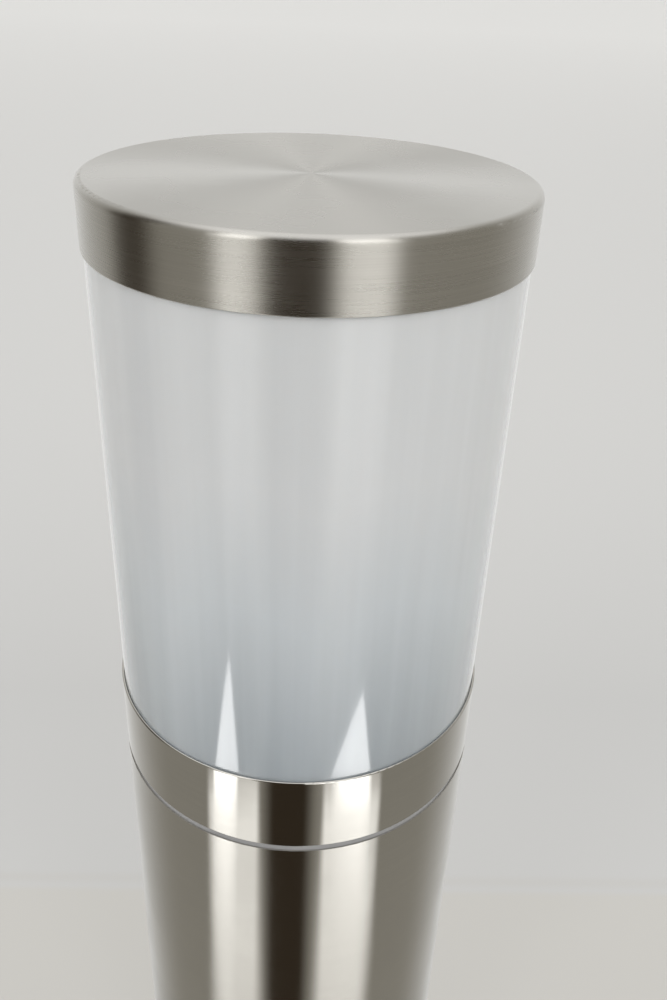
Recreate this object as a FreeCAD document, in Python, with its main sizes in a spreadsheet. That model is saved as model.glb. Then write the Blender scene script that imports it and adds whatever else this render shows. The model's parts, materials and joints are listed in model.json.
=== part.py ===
"""A round bollard light for paths and gardens, 450 mm tall, built as the assembly it comes apart into.

A stainless post stands on a drawn flange. A moulded spigot in the top of the post carries the E27 lamp
holder and a bayonet. The head, which is a drawn cap, an opal diffuser and a collar, drops over the spigot,
sits on a grey seal and is locked by turning it. The lamp screws into its holder.

Frame: millimetres, +Z up, the origin on the ground in the centre of the flange. +Y points at the back of
the terminal bracket, and one bayonet lug lies on +X.
"""
import FreeCAD, Part
import math
import os
import Sketcher

Vector = FreeCAD.Vector
doc = FreeCAD.newDocument("bollard_light")
dims = doc.addObject("Spreadsheet::Sheet", "Dims")

# ---------------------------------------------------------------- driving dimensions, in mm and degrees
DRIVING = {
    # overall
    "total_height": 450, "post_diameter": 76, "post_wall": 1.0,
    "flange_diameter": 127, "flange_height": 8,
    # head
    "cap_height": 11.2, "window_height": 89.3, "collar_height": 17.2, "head_sheet": 0.4,
    "cap_edge_radius": 1.2, "sheet_edge_radius": 0.25, "diffuser_wall": 2.0, "diffuser_corner": 3.0,
    "bond_gap": 0.1, "cap_gasket_thickness": 1.4, "cap_gasket_width": 9, "cap_gasket_inset": 4,
    "stud_radius": 2.0, "stud_length": 10, "stud_foot_radius": 3.5, "stud_foot_height": 0.8,
    "stud_hole_gap": 0.3, "washer_radius": 7.5, "washer_thickness": 1.6, "nut_radius": 4.04,
    "nut_height": 3.2, "thread_gap": 0.02,
    # seam seal
    "seal_thickness": 1.3, "seal_inset": 0.35,
    # bayonet
    "ring_wall": 1.8, "ring_flange": 3.0, "ring_height": 14.5, "spigot_gap": 0.4, "spigot_wall": 3.4,
    "spigot_height": 14.5, "spigot_chamfer": 0.8, "lug_level": 6.5, "lug_height": 3.0, "lug_depth": 1.9,
    "lug_angle": 16, "lug_gap": 0.3, "lug_gap_angle": 1.5, "bayonet_turn": 28,
    # spigot moulding in the post
    "plug_depth": 20, "plug_gap": 0.05, "plug_wall": 3.5, "web_thickness": 3, "tab_thickness": 1.5,
    "tab_width": 8, "tab_leg": 13, "tab_inset": 1.5,
    # small screws and rivets
    "screw_radius": 1.5, "screw_head_radius": 2.7, "screw_head_height": 1.9, "screw_gap": 0.15,
    "screw_tail": 1.5, "slot_width": 0.7, "slot_depth": 0.8, "rivet_radius": 1.1,
    "rivet_head_radius": 1.7, "rivet_head_height": 0.7,
    # lamp holder
    "holder_radius": 20, "holder_room": 1.5, "holder_step": 1.5, "holder_rim_depth": 29,
    "holder_floor": 7, "holder_cap_height": 18.5, "holder_cap_wall": 2.5, "holder_cap_floor": 3,
    "holder_chamfer": 1.2, "holder_edge": 1.0, "shell_radius": 14, "shell_wall": 0.5,
    "shell_height": 26, "shell_fit": 0.2, "shell_foot_radius": 10, "shell_turns": 6,
    "thread_pitch": 3.629, "thread_turns": 5, "thread_bead": 0.9, "thread_inset": 0.05,
    "contact_width": 7, "contact_thickness": 0.6, "contact_rise": 1.3, "contact_gap": 0.3,
    "contact_rivet_x": 4.5, "terminal_x": 3.7, "terminal_length": 5, "terminal_depth": 7,
    "terminal_drop": 6.5, "strap_width": 6, "strap_thickness": 1.5, "grub_radius": 1.4,
    "grub_length": 4, "nipple_radius": 5, "nipple_bore": 3.5, "nipple_length": 14,
    "nipple_entry": 2, "nipple_nut_radius": 8.1, "nipple_nut_height": 3.5,
    "bracket_sheet": 1.5, "bracket_width": 15, "bracket_gap": 1.0, "foot_reach": 4,
    # lamp
    "lamp_head_room": 43, "lamp_length": 110, "lamp_side_room": 5.3, "lamp_insertion": 27,
    "lamp_dome_wall": 1.2, "lamp_dome_drop": 11, "lamp_housing_wall": 1.5, "lamp_neck_radius": 13.6,
    "lamp_neck_height": 5, "lamp_spigot": 5, "lamp_cap_radius": 12.2, "lamp_cap_wall": 0.6,
    "lamp_cap_foot": 4, "lamp_cap_height": 22.5, "lamp_thread_start": 6, "insulator_foot_radius": 5.5,
    "insulator_rim": 1.5, "lamp_contact_radius": 4.5, "lamp_contact_height": 1.5,
    "led_board_room": 3.5, "led_board_thickness": 1.6, "led_circle_share": 0.7, "led_length": 3.5,
    "led_width": 2.8, "led_height": 0.7,
    # base
    "flange_sheet": 1.2, "flange_edge_radius": 4, "flange_lap": 1.0, "bolt_hole_radius": 3.25,
    "backing_thickness": 4, "backing_gap": 0.8, "ground_gasket_bore": 30, "grommet_neck_radius": 7.5,
    "grommet_lip": 2.5, "grommet_lip_height": 2.2, "cable_radius": 4.0,
    # terminal bracket, block, clamp, earth and leads
    "terminal_sheet": 1.5, "terminal_width": 32, "terminal_height": 84, "terminal_foot": 13,
    "terminal_room": 0.5, "foot_screw_x": 10, "block_width": 30, "block_depth": 9,
    "block_height": 16, "block_level": 38, "pole_spacing": 9.5, "pole_radius": 2.3, "pole_bore": 1.4,
    "pole_length": 12, "pole_screw_radius": 1.6, "pole_screw_offset": 3.8, "clamp_level": 14,
    "clamp_height": 8, "clamp_wall": 2.0, "clamp_ear": 6, "clamp_ear_thickness": 3,
    "earth_level": 77, "ring_radius": 4.2, "ring_sheet": 0.8, "barrel_radius": 1.7,
    "barrel_length": 5, "lead_radius": 1.0, "lead_spread": 1.5, "lead_straight": 3,
    "earth_lead_straight": 4,
}
LED_COUNT = 12
UP = Vector(0, 0, 1)
THIRDS = (90, 210, 330)     # where three of a kind stand round the post, in degrees
LUG_PLACES = (0, 120, 240)  # the three bayonet lugs
SIDES = (1, -1)
# X, Y and share of the climb at each bend of a supply lead, as it bows out beside the cord
LEAD_BOW = ((9.3, -0.5, 0.3), (8.3, -5.5, 0.5), (6.0, -7.5, 0.7), (3.2, -4.5, 0.87))

for line, (alias, size) in enumerate(DRIVING.items(), start=1):
    dims.set(f"A{line}", alias.replace("_", " "))
    dims.set(f"B{line}", str(size))
    dims.setAlias(f"B{line}", alias)
doc.recompute()


class Size:
    """A length or angle as an expression over the cells, so that what is bound to it follows them."""

    def __init__(self, text):
        self.text = str(text)

    def __add__(self, other):
        return Size(f"({self.text} + {Size.of(other).text})")

    def __sub__(self, other):
        return Size(f"({self.text} - {Size.of(other).text})")

    def __rsub__(self, other):
        return Size.of(other) - self

    def __mul__(self, other):
        return Size(f"({self.text} * {Size.of(other).text})")

    def __truediv__(self, other):
        return Size(f"({self.text} / {Size.of(other).text})")

    def __neg__(self):
        return Size(f"(0 - {self.text})")

    __radd__ = __add__
    __rmul__ = __mul__

    def __float__(self):
        return float(dims.evalExpression(self.text))

    @staticmethod
    def of(other):
        return other if isinstance(other, Size) else Size(round(other, 9))


class Cells:
    """cells.post_wall is the Size of the sheet's cell of that name."""

    def __getattr__(self, alias):
        if alias not in DRIVING:
            raise AttributeError(f"the sheet has no cell named {alias}")
        return Size("Dims." + alias)


d = Cells()

# ---------------------------------------------------------------- radii and levels that follow from them
post_radius = d.post_diameter / 2
post_bore = post_radius - d.post_wall
diffuser_radius = post_radius - d.head_sheet - d.bond_gap
diffuser_bore = diffuser_radius - d.diffuser_wall
ring_bore = diffuser_bore - d.bond_gap - d.ring_wall
spigot_radius = ring_bore - d.spigot_gap
spigot_bore = spigot_radius - d.spigot_wall
plug_bore = post_bore - d.plug_gap - d.plug_wall
web_bore = d.holder_radius + d.holder_room
web_screw_radius = (web_bore + plug_bore) / 2

cap_rim = d.total_height - d.cap_height
collar_top = cap_rim - d.window_height
collar_foot = collar_top - d.collar_height
post_top = collar_foot - d.seal_thickness
cap_inside = d.total_height - d.head_sheet
diffuser_top = cap_inside - d.cap_gasket_thickness
diffuser_ceiling = diffuser_top - d.diffuser_wall
diffuser_foot = collar_foot + d.ring_flange
web_foot = post_top - d.plug_depth
web_top = web_foot + d.web_thickness

lamp_top = diffuser_ceiling - d.lamp_head_room
lamp_foot = lamp_top - d.lamp_length
lamp_radius = diffuser_bore - d.lamp_side_room
holder_rim = lamp_foot + d.lamp_insertion
holder_seat = holder_rim - d.holder_rim_depth
holder_break = holder_seat - d.holder_floor
holder_foot = holder_break - d.holder_cap_height

flange_radius = d.flange_diameter / 2
bolt_circle_radius = (flange_radius + post_radius) / 2
plate_top = d.flange_height - d.flange_sheet
plate_foot = plate_top - d.backing_thickness
terminal_back = d.grommet_neck_radius + d.grommet_lip + d.terminal_room
block_foot = plate_top + d.block_level
block_top = block_foot + d.block_height
block_middle = block_foot + d.block_height / 2
pole_y = terminal_back - d.block_depth / 2

lamp_cap_foot = lamp_foot + d.lamp_cap_foot
lamp_cap_top = lamp_cap_foot + d.lamp_cap_height
lamp_thread_foot = lamp_foot + d.lamp_thread_start
shell_thread_foot = lamp_thread_foot - d.thread_pitch * 1.5     # half a pitch out of step, so they mesh
nipple_top = holder_foot + d.holder_cap_floor + d.nipple_entry
nipple_foot = nipple_top - d.nipple_length


# ---------------------------------------------------------------- helpers
def bind(thing, size_name, size):
    """Ties one property of a document object to the sheet."""
    thing.setExpression(size_name, Size.of(size).text)


def place(thing, at=(0, 0, 0), turn=0):
    """Puts an object at a place that follows the sheet, then swings it round the Z axis by turn degrees."""
    cosine = math.cos(math.radians(turn))
    sine = math.sin(math.radians(turn))
    x, y, z = (Size.of(value) for value in at)
    rotation = FreeCAD.Rotation(UP, turn).multiply(thing.Placement.Rotation)
    thing.Placement = FreeCAD.Placement(Vector(), rotation)
    bind(thing, "Placement.Base.x", x * cosine - y * sine)
    bind(thing, "Placement.Base.y", x * sine + y * cosine)
    bind(thing, "Placement.Base.z", z)
    return thing


def tip(thing, axis, degrees):
    """Turns an object about an axis through its own origin. It comes before place()."""
    thing.Placement.Rotation = FreeCAD.Rotation(Vector(*axis), degrees)
    return thing


def primitive(kind, **sizes):
    thing = doc.addObject("Part::" + kind, kind.lower())
    for size_name, size in sizes.items():
        bind(thing, size_name, size)
    return thing


def cylinder(radius, height, at=(0, 0, 0), turn=0):
    return place(primitive("Cylinder", Radius=radius, Height=height), at, turn)


def sector(outer, inner, height, level, start, sweep):
    """A piece of a ring round the Z axis, from start degrees through sweep degrees."""
    parts = []
    for radius in (outer, inner):
        wedge = primitive("Cylinder", Radius=radius, Height=height, Angle=sweep)
        bind(wedge, "Placement.Rotation.Angle", start)
        bind(wedge, "Placement.Base.z", level)
        parts.append(wedge)
    return cut(*parts)


def box(x_size, y_size, z_size, at, turn=0):
    """A box centred on X and Y at the place given, and standing on it."""
    block = primitive("Box", Length=x_size, Width=y_size, Height=z_size)
    x, y, z = (Size.of(value) for value in at)
    return place(block, (x - Size.of(x_size) / 2, y - Size.of(y_size) / 2, z), turn)


def hexagon(circumradius, height, at):
    prism = primitive("Prism", Circumradius=circumradius, Height=height)
    prism.Polygon = 6
    return place(prism, at)


def combine(kind, parts):
    thing = doc.addObject("Part::" + kind, kind.lower())
    if kind == "Cut":
        thing.Base, thing.Tool = parts
    else:
        thing.Shapes = parts
    return thing


def cut(base, *tools):
    for tool in tools:
        base = combine("Cut", (base, tool))
    return base


def fuse(*parts):
    return combine("MultiFuse", list(parts))


def common(*parts):
    return combine("MultiCommon", list(parts))


def group(parts):
    """Identical loose pieces that share one node."""
    thing = doc.addObject("Part::Compound", "group")
    thing.Links = parts
    return thing


def new_body(label):
    return doc.addObject("PartDesign::Body", label)


def sketch_on(body, role, level=0):
    """A sketch on one of the body's own origin planes, lifted off it by level."""
    sketch = body.newObject("Sketcher::SketchObject", body.Name + "_sketch")
    plane = next(f for f in body.Origin.OriginFeatures if f.Role == role)
    sketch.AttachmentSupport = (plane, [""])
    sketch.MapMode = "FlatFace"
    bind(sketch, "AttachmentOffset.Base.z", level)
    return sketch


def hold(sketch, index, corner, x, y):
    """Holds one point of a sketch at a place that follows the sheet."""
    for kind, size, axis in (("DistanceX", x, -2), ("DistanceY", y, -1)):
        if abs(float(size)) < 1e-9:
            sketch.addConstraint(Sketcher.Constraint("PointOnObject", index, corner, axis))
        else:
            number = sketch.addConstraint(
                Sketcher.Constraint(kind, -1, 1, index, corner, float(size)))
            bind(sketch, f"Constraints[{number}]", size)


def arc_between(start, end, radius):
    """The arc from start to end. A positive radius turns left on the way, and a negative one right."""
    middle = (start + end) / 2
    chord = end - start
    away = math.sqrt(max(radius * radius - (chord.Length / 2) ** 2, 0))
    left = Vector(-chord.y, chord.x, 0).normalize()
    centre = middle + left * (away if radius > 0 else -away)
    first, last = (start, end) if radius > 0 else (end, start)
    angles = [math.atan2((p - centre).y, (p - centre).x) for p in (first, last)]
    return Part.ArcOfCircle(Part.Circle(centre, UP, abs(radius)), *angles)


def draw_outline(sketch, points):
    """A closed outline. A point is (x, y), or (x, y, radius, side) where an arc arrives at it: side is 1
    where that arc turns left, and -1 where it turns right."""
    points = [tuple(Size.of(value) for value in point) for point in points]
    first = sketch.GeometryCount
    places = [Vector(float(p[0]), float(p[1]), 0) for p in points]
    ends = []
    for i, point in enumerate(points):
        after = (i + 1) % len(points)
        start, end = places[i], places[after]
        if len(points[after]) > 2:
            radius, side = points[after][2], float(points[after][3])
            index = sketch.addGeometry(arc_between(start, end, float(radius) * side), False)
            number = sketch.addConstraint(Sketcher.Constraint("Radius", index, float(radius)))
            bind(sketch, f"Constraints[{number}]", radius)
            ends.append((1, 2) if side > 0 else (2, 1))
        else:
            index = sketch.addGeometry(Part.LineSegment(start, end), False)
            ends.append((1, 2))
        hold(sketch, index, ends[i][0], point[0], point[1])
    for i in range(len(points)):
        after = (i + 1) % len(points)
        sketch.addConstraint(
            Sketcher.Constraint("Coincident", first + i, ends[i][1], first + after, ends[after][0]))


def turned(label, points):
    """A spun or turned piece: its half section, as (radius, height) points, swept round the Z axis."""
    body = new_body(label)
    sketch = sketch_on(body, "XZ_Plane")
    draw_outline(sketch, points)
    spin = body.newObject("PartDesign::Revolution", label + "_spin")
    spin.Profile = sketch
    spin.ReferenceAxis = (sketch, ["V_Axis"])
    spin.Angle = 360
    return body


def ring(label, outer, inner, foot, top):
    """A plain flat-ended ring or tube."""
    return turned(label, [(inner, foot), (outer, foot), (outer, top), (inner, top)])


def disc(label, radius, foot, top):
    """A plain flat-ended disc."""
    return turned(label, [(0, foot), (radius, foot), (radius, top), (0, top)])


def padded(label, role, draw, thickness, level=0, symmetric=False):
    """A piece extruded from a sketch that draw(sketch) fills in."""
    body = new_body(label)
    sketch = sketch_on(body, role, level)
    draw(sketch)
    pad = body.newObject("PartDesign::Pad", label + "_pad")
    pad.Profile = sketch
    pad.SideType = "Symmetric" if symmetric else "One side"
    bind(pad, "Length", thickness)
    return body


def polar(radius, degrees):
    """The X and Y of a point on a circle round the Z axis."""
    angle = math.radians(degrees)
    return radius * math.cos(angle), radius * math.sin(angle)


def slotted(piece, top):
    """Cuts a screwdriver slot across the top of a screw."""
    slot = box(d.screw_head_radius * 3, d.slot_width, d.slot_depth * 2, (0, 0, top - d.slot_depth))
    return cut(piece, slot)


def screw(length):
    """A slotted pan-head screw with its seat at z = 0 and its shank below."""
    head, rise = d.screw_head_radius, d.screw_head_height
    return slotted(turned("screw", [
        (0, -length), (d.screw_radius, -length), (d.screw_radius, 0), (head, 0),
        (head, rise / 2), (head - rise / 2, rise, rise / 2, 1), (0, rise)]), rise)


def grub(radius, inside, outside):
    """A slotted screw with no head, part in and part out of the face at z = 0."""
    return slotted(cylinder(radius, inside + outside, (0, 0, -inside)), Size.of(outside))


def facing_front(thing, at):
    """Points a screw's head at -Y and puts its seat at the place given."""
    return place(tip(thing, (1, 0, 0), 90), at)


def hole_along_y(radius, length, at):
    """A drill along Y, centred on the place given."""
    x, y, z = (Size.of(value) for value in at)
    return place(tip(primitive("Cylinder", Radius=radius, Height=length), (1, 0, 0), 90),
                 (x, y + Size.of(length) / 2, z))


nodes = {}


def node(name, thing):
    """Registers a finished piece under the name of its file."""
    thing.Label = name
    nodes[name] = thing


# ---------------------------------------------------------------- head: cap, diffuser and collar
def build_cap():
    """The drawn cap: a flat disc with a rounded shoulder and a short skirt whose rim is eased."""
    outside, inside = post_radius, post_radius - d.head_sheet
    edge, top, rim = d.cap_edge_radius, d.total_height, d.sheet_edge_radius
    node("top_cap", turned("top_cap", [
        (0, cap_inside), (outside - edge, cap_inside),
        (inside, top - edge, edge - d.head_sheet, -1), (inside, cap_rim),
        (outside - rim, cap_rim), (outside, cap_rim + rim, rim, 1),
        (outside, top - edge), (outside - edge, top, edge, 1), (0, top)]))


def build_cap_fixing():
    """The welded stud, gasket, washer and nut that clamp the diffuser up into the cap."""
    foot = cap_inside - d.stud_foot_height
    node("cap_stud", turned("cap_stud", [
        (0, cap_inside - d.stud_length), (d.stud_radius, cap_inside - d.stud_length),
        (d.stud_radius, foot), (d.stud_foot_radius, foot), (d.stud_foot_radius, cap_inside),
        (0, cap_inside)]))
    outer = diffuser_radius - d.cap_gasket_inset
    node("cap_gasket", ring("cap_gasket", outer, outer - d.cap_gasket_width, diffuser_top, cap_inside))
    hole = d.stud_radius + d.stud_hole_gap
    washer_foot = diffuser_ceiling - d.washer_thickness
    node("sealing_washer", ring("sealing_washer", d.washer_radius, hole, washer_foot, diffuser_ceiling))
    nut_foot = washer_foot - d.nut_height
    nut = hexagon(d.nut_radius, d.nut_height, (0, 0, nut_foot))
    thread = cylinder(d.stud_radius + d.thread_gap, d.nut_height * 2, (0, 0, nut_foot - d.nut_height / 2))
    node("cap_nut", cut(nut, thread))


def build_diffuser():
    """The opal diffuser: a deep cup, open below, with a hole in its closed top for the stud."""
    hole = d.stud_radius + d.stud_hole_gap
    corner = d.diffuser_corner
    node("diffuser", turned("diffuser", [
        (hole, diffuser_ceiling), (diffuser_radius - corner, diffuser_ceiling),
        (diffuser_bore, diffuser_top - corner, corner - d.diffuser_wall, -1),
        (diffuser_bore, diffuser_foot), (diffuser_radius, diffuser_foot),
        (diffuser_radius, diffuser_top - corner),
        (diffuser_radius - corner, diffuser_top, corner, 1), (hole, diffuser_top)]))


def build_collar():
    """The steel collar round the foot of the diffuser, with its upper and lower edges eased."""
    outside, inside, ease = post_radius, post_radius - d.head_sheet, d.sheet_edge_radius
    node("collar", turned("collar", [
        (inside, collar_foot), (outside - ease, collar_foot),
        (outside, collar_foot + ease, ease, 1), (outside, collar_top - ease),
        (outside - ease, collar_top, ease, 1), (inside, collar_top)]))


def build_bayonet_ring():
    """The moulded ring bonded into the collar: its flange carries the diffuser, and three lugs face in."""
    sleeve = diffuser_bore - d.bond_gap
    flange = post_radius - d.head_sheet - d.bond_gap
    top = collar_foot + d.ring_height
    body = turned("bayonet_ring", [
        (ring_bore, collar_foot), (flange, collar_foot), (flange, diffuser_foot),
        (sleeve, diffuser_foot), (sleeve, top), (ring_bore, top)])
    overlap = d.ring_wall / 2
    lugs = [sector(ring_bore + overlap, ring_bore - d.lug_depth, d.lug_height, post_top + d.lug_level,
                   Size(place_angle) - d.lug_angle / 2, d.lug_angle) for place_angle in LUG_PLACES]
    node("bayonet_ring", fuse(body, *lugs))


def build_seam_seal():
    """The grey seal that shows as a fine line between the collar and the post."""
    node("seam_seal", ring("seam_seal", post_radius - d.seal_inset, ring_bore, post_top, collar_foot))


# ---------------------------------------------------------------- post and spigot
def build_post():
    node("post_tube", ring("post_tube", post_radius, post_bore, d.flange_height, post_top))


def build_spigot():
    """The moulding in the top of the post: a plug, a web for the lamp holder and the slotted spigot."""
    plug = post_bore - d.plug_gap
    top = post_top + d.spigot_height
    ease = d.spigot_chamfer
    step = post_top - d.web_thickness
    body = turned("spigot", [
        (web_bore, web_foot), (plug, web_foot), (plug, post_top), (spigot_radius, post_top),
        (spigot_radius, top - ease), (spigot_radius - ease, top), (spigot_bore, top),
        (spigot_bore, step), (plug_bore, step), (plug_bore, web_top), (web_bore, web_top)])
    floor_radius = ring_bore - d.lug_depth - d.lug_gap
    outside = spigot_radius + d.spigot_gap
    slot_level = post_top + d.lug_level - d.lug_gap
    channel = d.lug_height + d.lug_gap * 2
    half = d.lug_angle / 2 + d.lug_gap_angle
    cuts = []
    for place_angle in LUG_PLACES:
        middle = Size(place_angle)
        cuts.append(sector(outside, floor_radius, d.spigot_height, slot_level, middle - half, half * 2))
        cuts.append(sector(outside, floor_radius, channel, slot_level,
                           middle - half - d.bayonet_turn, half * 2 + d.bayonet_turn))
    hole = d.screw_radius + d.screw_gap
    deep = d.web_thickness * 3
    for x, y in web_screw_places():
        cuts.append(cylinder(hole, deep, (x, y, web_foot - d.web_thickness)))
    node("spigot", cut(body, fuse(*cuts)))


def web_screw_places():
    """The three tab screws, then the two bracket screws."""
    return [polar(web_screw_radius, angle) for angle in (*THIRDS, 0, 180)]


def build_post_tabs():
    """Three angle tabs welded inside the post, which hold the spigot moulding up."""
    inner = web_bore + d.tab_inset
    length = post_bore - inner + d.tab_thickness
    middle = inner + length / 2
    bore = cylinder(post_bore, d.tab_leg, (0, 0, web_foot - d.tab_leg))
    tabs = []
    for angle in THIRDS:
        shelf = box(length, d.tab_width, d.tab_thickness, (middle, 0, web_foot - d.tab_thickness), angle)
        leg = box(d.tab_thickness * 2, d.tab_width, d.tab_leg, (post_bore, 0, web_foot - d.tab_leg), angle)
        hole = cylinder(d.screw_radius + d.thread_gap, d.tab_leg,
                        (web_screw_radius, 0, web_foot - d.tab_leg / 2), angle)
        tabs.append(cut(common(fuse(shelf, leg), bore), hole))
    node("post_tabs", group(tabs))


def build_web_screws():
    """The screws that hold the web to the tabs, and those that hang the bracket under it."""
    length = d.web_thickness + d.tab_thickness + d.screw_tail
    screws = [place(screw(length), (x, y, web_top)) for x, y in web_screw_places()]
    node("spigot_screws", group(screws[:len(THIRDS)]))
    node("bracket_screws", group(screws[len(THIRDS):]))


# ---------------------------------------------------------------- lamp holder
def build_bracket():
    """The steel strip that hangs the lamp holder under the web: a cradle with two feet turned out."""
    sheet = d.bracket_sheet
    inner = web_bore + d.bracket_gap
    outer = inner + sheet
    reach = web_screw_radius + d.foot_reach
    low = holder_foot - sheet
    high = web_foot - sheet

    def draw(sketch):
        draw_outline(sketch, [
            (-outer, low), (outer, low), (outer, high), (reach, high), (reach, web_foot),
            (inner, web_foot), (inner, holder_foot), (-inner, holder_foot), (-inner, web_foot),
            (-reach, web_foot), (-reach, high), (-outer, high)])

    strip = padded("holder_bracket", "XZ_Plane", draw, d.bracket_width, symmetric=True)
    holes = [cylinder(d.nipple_radius + d.thread_gap, sheet * 3, (0, 0, low - sheet))]
    for side in SIDES:
        holes.append(cylinder(d.screw_radius + d.thread_gap, sheet * 3,
                              (web_screw_radius * side, 0, high - sheet)))
    node("holder_bracket", cut(strip, fuse(*holes)))


def build_holder():
    """The porcelain body of the lamp holder, and the cap that closes it below."""
    ease, edge = d.holder_chamfer, d.holder_edge
    bore = d.shell_radius + d.shell_fit
    top, outside = holder_rim, d.holder_radius
    step = outside - d.holder_step
    body = turned("lampholder_body", [
        (0, holder_break), (step, holder_break), (step, holder_seat), (outside, holder_seat + ease),
        (outside, top - edge), (outside - edge, top, edge, 1), (bore + ease, top),
        (bore, top - ease), (bore, holder_seat), (0, holder_seat)])
    rivet_hole = d.rivet_radius + d.thread_gap
    holes = [cylinder(rivet_hole, d.holder_floor * 3, (x, 0, holder_break - d.holder_floor))
             for x in rivet_places()]
    node("lampholder_body", cut(body, fuse(*holes)))
    inner = step - d.holder_cap_wall
    floor = holder_foot + d.holder_cap_floor
    hole = d.nipple_radius + d.thread_gap
    node("lampholder_cap", turned("lampholder_cap", [
        (hole, holder_foot), (step - ease, holder_foot), (step, holder_foot + ease),
        (step, holder_break), (inner, holder_break), (inner, floor), (hole, floor)]))


def rivet_places():
    """X of the rivet through the centre contact, and of the one through the foot of the shell."""
    return d.contact_rivet_x, -(d.shell_foot_radius + d.rivet_head_radius)


def wound_bead(radius, foot, turns):
    """One thread: a round bead wound on a helix."""
    helix = primitive("Helix", Pitch=d.thread_pitch, Height=d.thread_pitch * turns, Radius=radius)
    place(helix, (0, 0, foot))
    circle = place(tip(primitive("Circle", Radius=d.thread_bead), (1, 0, 0), 90), (radius, 0, foot))
    bead = doc.addObject("Part::Sweep", "bead")
    bead.Sections = [circle]
    bead.Spine = (helix, [])
    bead.Solid = True
    bead.Frenet = True
    return bead


def build_shell():
    """The screw shell of the holder, with its thread rolled inwards and its foot turned in."""
    outside, inside = d.shell_radius, d.shell_radius - d.shell_wall
    foot, top = holder_seat, holder_seat + d.shell_height
    floor = foot + d.shell_wall
    tube = turned("shell", [
        (d.shell_foot_radius, foot), (outside, foot), (outside, top), (inside, top),
        (inside, floor), (d.shell_foot_radius, floor)])
    hole = cylinder(d.rivet_radius + d.thread_gap, d.shell_wall * 3,
                    (rivet_places()[1], 0, foot - d.shell_wall))
    bead = wound_bead(inside - d.thread_inset, shell_thread_foot, d.shell_turns)
    limit = cylinder(outside, d.shell_height, (0, 0, foot))
    node("screw_shell", common(fuse(cut(tube, hole), bead), limit))


def build_contacts():
    """The centre contact, its rivet and the shell's, and the two brass terminals under the floor."""
    thick, seat, rise = d.contact_thickness, holder_seat, d.contact_rise
    raised = lamp_foot - d.contact_gap
    end = rivet_places()[0] + d.rivet_head_radius
    start = rivet_places()[0] - d.rivet_head_radius
    tail = -d.lamp_contact_radius

    def draw(sketch):
        draw_outline(sketch, [
            (start, seat), (end, seat), (end, seat + thick), (start, seat + thick),
            (start - rise, raised), (tail, raised), (tail, raised - thick), (start - rise, raised - thick)])

    strip = padded("centre_contact", "XZ_Plane", draw, d.contact_width, symmetric=True)
    hole = cylinder(d.rivet_radius + d.thread_gap, thick * 3, (rivet_places()[0], 0, seat - thick))
    node("centre_contact", cut(strip, hole))
    rivets = []
    for x, under in zip(rivet_places(), (thick, d.shell_wall)):
        head = seat + under
        rivets.append(place(turned("rivet", [
            (0, holder_break), (d.rivet_radius, holder_break), (d.rivet_radius, head),
            (d.rivet_head_radius, head), (d.rivet_radius, head + d.rivet_head_height),
            (0, head + d.rivet_head_height)]), (x, 0, 0)))
    node("contact_rivets", group(rivets))
    build_holder_terminals()


def build_holder_terminals():
    """Two brass blocks, one with a strap out to the shell's rivet, and a screw in the front of each."""
    foot = holder_break - d.terminal_drop
    level = foot + d.terminal_drop / 2
    front = -d.terminal_depth / 2
    end = rivet_places()[1] - d.rivet_head_radius
    strap = box(-end, d.strap_width, d.strap_thickness, (end / 2, 0, holder_break - d.strap_thickness))
    blocks, grubs = [], []
    for side in SIDES:
        x = d.terminal_x * side
        block = box(d.terminal_length, d.terminal_depth, d.terminal_drop, (x, 0, foot))
        if side < 0:
            limit = box(d.terminal_length * 8, d.strap_width, d.terminal_drop,
                        (x + d.terminal_length / 2 - d.terminal_length * 4, 0, foot))
            block = fuse(block, common(strap, limit))
        thread = hole_along_y(d.grub_radius + d.thread_gap, d.grub_length, (x, front, level))
        blocks.append(cut(block, thread))
        piece = grub(d.grub_radius, d.grub_length / 2, d.grub_length / 2)
        grubs.append(facing_front(piece, (x, front, level)))
    node("holder_terminals", group(blocks))
    node("terminal_grubs", group(grubs))


def build_nipple():
    """The hollow threaded nipple that fixes the holder to its bracket, and its nut."""
    node("nipple", ring("nipple", d.nipple_radius, d.nipple_bore, nipple_foot, nipple_top))
    foot = holder_foot - d.bracket_sheet - d.nipple_nut_height
    nut = hexagon(d.nipple_nut_radius, d.nipple_nut_height, (0, 0, foot))
    bore = cylinder(d.nipple_radius + d.thread_gap, d.nipple_nut_height * 2,
                    (0, 0, foot - d.nipple_nut_height / 2))
    node("nipple_nut", cut(nut, bore))


# ---------------------------------------------------------------- lamp
def leg_of(hypotenuse, other):
    """The third side of a right triangle."""
    return Size(f"sqrt({hypotenuse.text} ^ 2 - {other.text} ^ 2)")


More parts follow.
